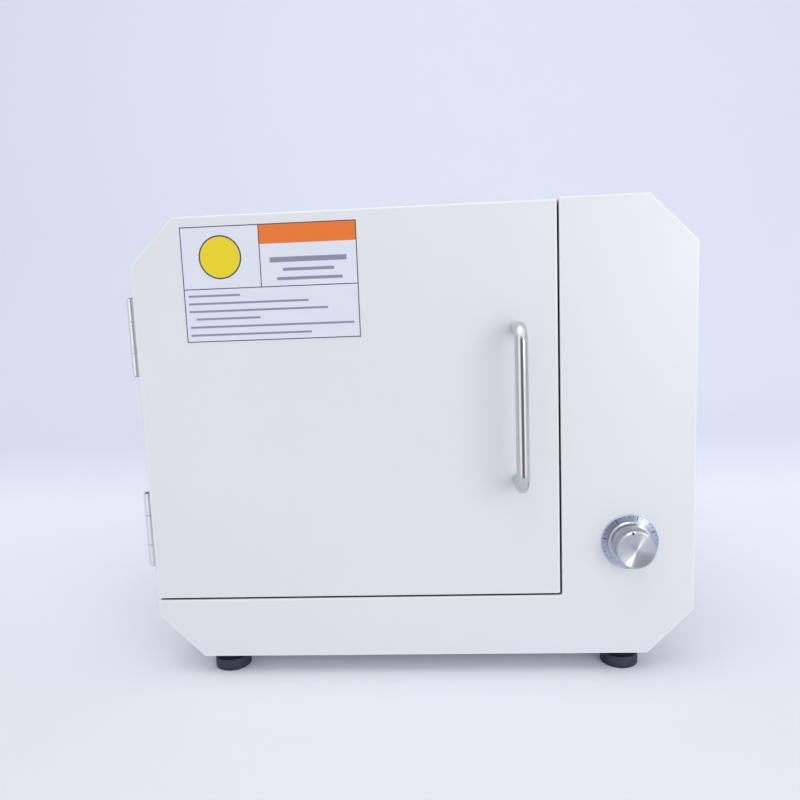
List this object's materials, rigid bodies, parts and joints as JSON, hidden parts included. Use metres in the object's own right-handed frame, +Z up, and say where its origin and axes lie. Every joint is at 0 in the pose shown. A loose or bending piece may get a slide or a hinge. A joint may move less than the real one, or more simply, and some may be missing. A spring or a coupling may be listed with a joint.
{
  "type": "dental light curing cabinet",
  "caption": "White bench-top curing box with cut corners, a side-hinged door with a bar handle, a lamp chamber with a turning table, and a timer knob.",
  "frame": {"origin": "on the table top, under the middle of the whole object, handle, hinges and rear fittings included", "axes": "+X to the right seen from the front, +Y from the door to the back, +Z up"},
  "size_m": [0.3604, 0.3134, 0.3025],
  "materials": {
    "white_enamel": "white powder coat on folded steel, satin",
    "bright_steel": "bright rolled stainless sheet that throws the light back",
    "stainless": "brushed stainless steel",
    "zinc_steel": "zinc-plated steel",
    "turned_aluminium": "turned and brushed aluminium",
    "foot_rubber": "black moulded rubber",
    "seal_foam": "soft black foam strip",
    "lamp_board": "aluminium circuit board with a white mask",
    "lamp_package": "lamp packages with clear lenses",
    "table_acrylic": "clear polished acrylic",
    "black_plastic": "black moulded plastic",
    "circuit_green": "green circuit board and terminals",
    "relay_blue": "blue moulded relay case",
    "label_vinyl": "white printed vinyl"
  },
  "bodies": {
    "cabinet": {"base_tray": "white_enamel", "top_cover": "white_enamel", "front_panel": "white_enamel", "front_frame": "white_enamel", "rear_panel": "white_enamel", "panel_screws": "zinc_steel", "foot_front_left": "foot_rubber", "foot_front_right": "foot_rubber", "foot_rear_left": "foot_rubber", "foot_rear_right": "foot_rubber", "foot_screws": "zinc_steel", "chamber_floor": "bright_steel", "chamber_left_wall": "bright_steel", "chamber_right_wall": "bright_steel", "chamber_top_wall": "bright_steel", "chamber_back_wall": "bright_steel", "uv_board_left": "lamp_board", "uv_board_right": "lamp_board", "uv_board_top": "lamp_board", "uv_leds_left": "lamp_package", "uv_leds_right": "lamp_package", "uv_leds_top": "lamp_package", "inner_screws": "zinc_steel", "turntable_motor": "zinc_steel", "timer_potentiometer": "black_plastic", "timer_nut": "zinc_steel", "dial_plate": "turned_aluminium", "door_catch": "black_plastic", "hinge_frame_leaf_upper": "stainless", "hinge_frame_leaf_lower": "stainless", "hinge_pins": "stainless", "hinge_screws_frame": "stainless", "fan_frame": "black_plastic", "fan_guard": "zinc_steel", "fan_screws": "zinc_steel", "dc_inlet": "black_plastic", "dc_inlet_nut": "zinc_steel", "control_board": "circuit_green", "board_standoffs": "zinc_steel", "terminal_block": "circuit_green", "board_relay": "relay_blue", "timer_cable": "black_plastic", "motor_cable": "black_plastic", "inlet_cable": "black_plastic", "fan_cable": "black_plastic"},
    "door": {"door_panel": "white_enamel", "door_liner": "white_enamel", "door_seal": "seal_foam", "door_handle": "stainless", "handle_screws": "zinc_steel", "door_label": "label_vinyl", "hinge_door_leaf_upper": "stainless", "hinge_door_leaf_lower": "stainless", "hinge_screws_door": "stainless"},
    "timer": {"timer_knob": "turned_aluminium", "timer_spindle": "zinc_steel"},
    "turntable": {"turntable_disc": "table_acrylic", "turntable_hub": "turned_aluminium", "motor_shaft": "stainless"},
    "fan_wheel": {"fan_rotor": "black_plastic"}
  },
  "joints": [
    {"name": "door_hinge", "type": "hinge", "parent": "cabinet", "child": "door", "pos_m": [-0.17715, -0.1155, 0.1775], "axis": [0, 0, -1], "range_deg": [0, 180]},
    {"name": "timer_turn", "type": "hinge", "parent": "cabinet", "child": "timer", "pos_m": [0.13785, -0.1367, 0.0875], "axis": [0, 1, 0], "range_deg": [-118, 176]},
    {"name": "turntable_spin", "type": "hinge", "parent": "cabinet", "child": "turntable", "pos_m": [-0.03865, 0.0049, 0.0785], "axis": [0, 0, 1], "continuous": true},
    {"name": "fan_spin", "type": "hinge", "parent": "cabinet", "child": "fan_wheel", "pos_m": [0.12435, 0.1383, 0.2175], "axis": [0, 1, 0], "continuous": true}
  ]
}
